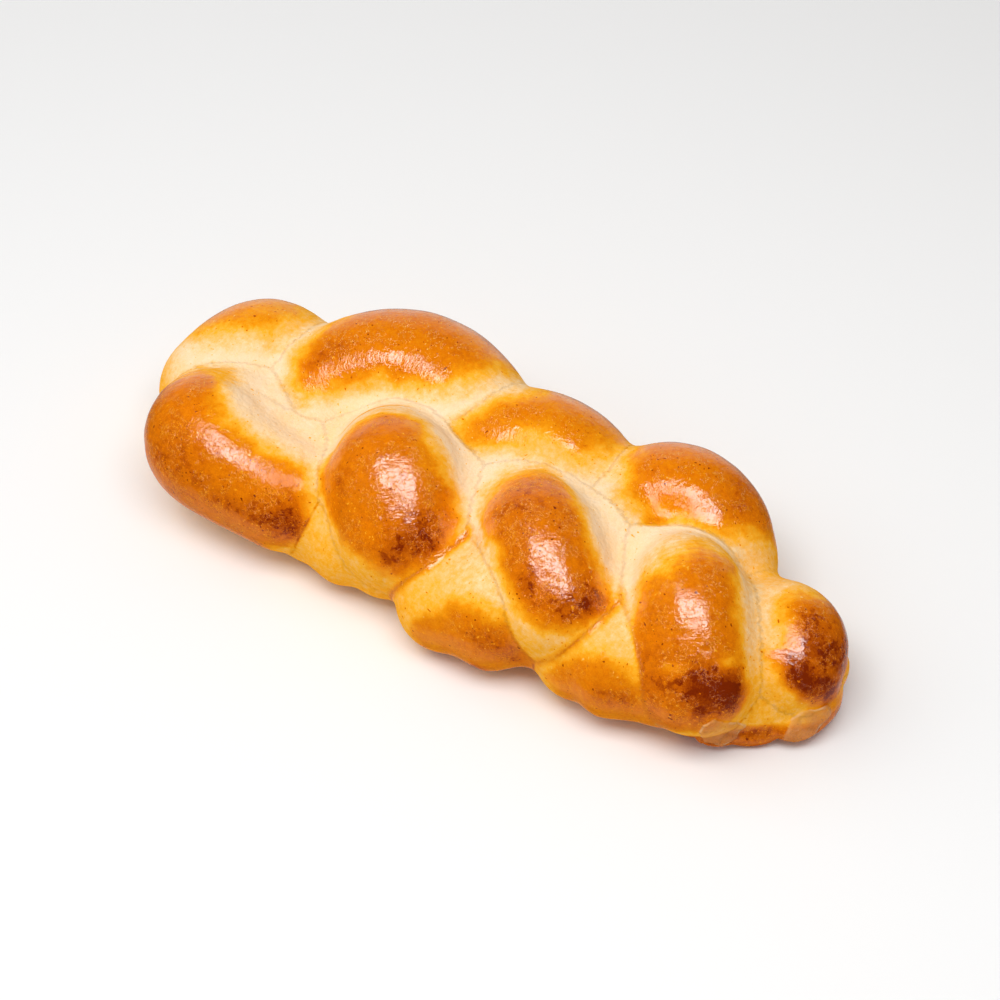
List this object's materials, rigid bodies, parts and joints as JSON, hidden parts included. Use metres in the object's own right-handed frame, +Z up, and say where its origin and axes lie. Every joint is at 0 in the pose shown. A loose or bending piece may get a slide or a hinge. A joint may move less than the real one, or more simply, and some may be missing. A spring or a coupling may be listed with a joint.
{
  "type": "butter plait",
  "caption": "Plaited loaf of rich butter dough with puffed, egg-glazed lobes, pale creases between them, a tucked-under end and a flat base that it rests on.",
  "frame": {"origin": "middle of the loaf's bounding box, on the flat base that it rests on", "axes": "+X along the loaf towards its tucked-in end, +Y to the back, +Z up from the base"},
  "size_m": [0.3062, 0.1244, 0.0678],
  "materials": {
    "crust": "egg-glazed golden brown crust, satin, paler and duller in the creases"
  },
  "bodies": {
    "root": {"butter_plait": "crust"}
  },
  "joints": []
}
